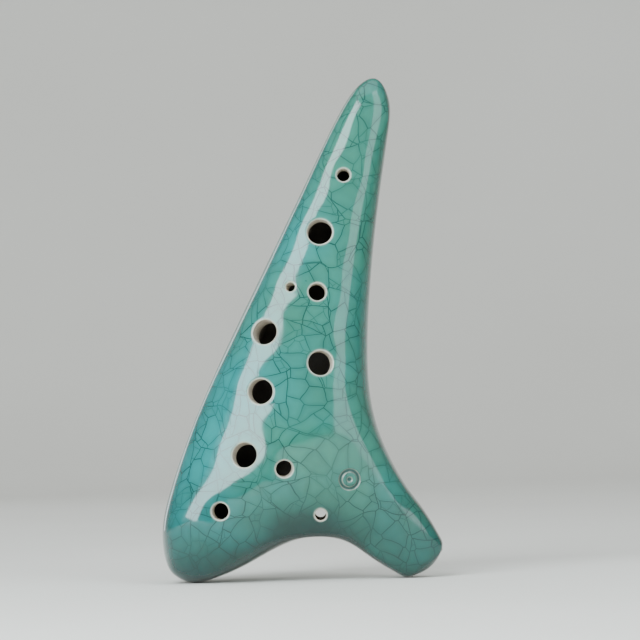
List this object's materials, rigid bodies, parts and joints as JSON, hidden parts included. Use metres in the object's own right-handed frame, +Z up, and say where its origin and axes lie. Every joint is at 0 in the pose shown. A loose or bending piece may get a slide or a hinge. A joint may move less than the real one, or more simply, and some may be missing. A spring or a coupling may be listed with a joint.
{
  "type": "ocarina",
  "caption": "Transverse ocarina of glazed clay: a long tapering hollow body with finger and thumb holes, and a flat beak with a windway, window and labium.",
  "frame": {"origin": "middle of the bounding box's underside: the object stands on the round end of its body and on the tip of its beak", "axes": "+Z up, along the object's length; +X from the round end towards the beak; the finger holes face -Y and the window and thumb holes face +Y"},
  "size_m": [0.0681, 0.0298, 0.1215],
  "materials": {
    "glaze": "turquoise crackle glaze, glossy",
    "fired_clay": "pale buff fired clay, unglazed and matte",
    "clay_slip": "fired joining slip, matte"
  },
  "bodies": {
    "root": {"front_shell": "fired_clay", "back_shell": "fired_clay", "body_seam_slip": "clay_slip", "beak_floor": "fired_clay", "beak_roof": "fired_clay", "beak_seam_slip_crook": "clay_slip", "beak_seam_slip_flank": "clay_slip", "beak_joint_slip": "clay_slip", "cord_web": "fired_clay", "labium": "fired_clay", "glaze_coat": "glaze"}
  },
  "joints": []
}
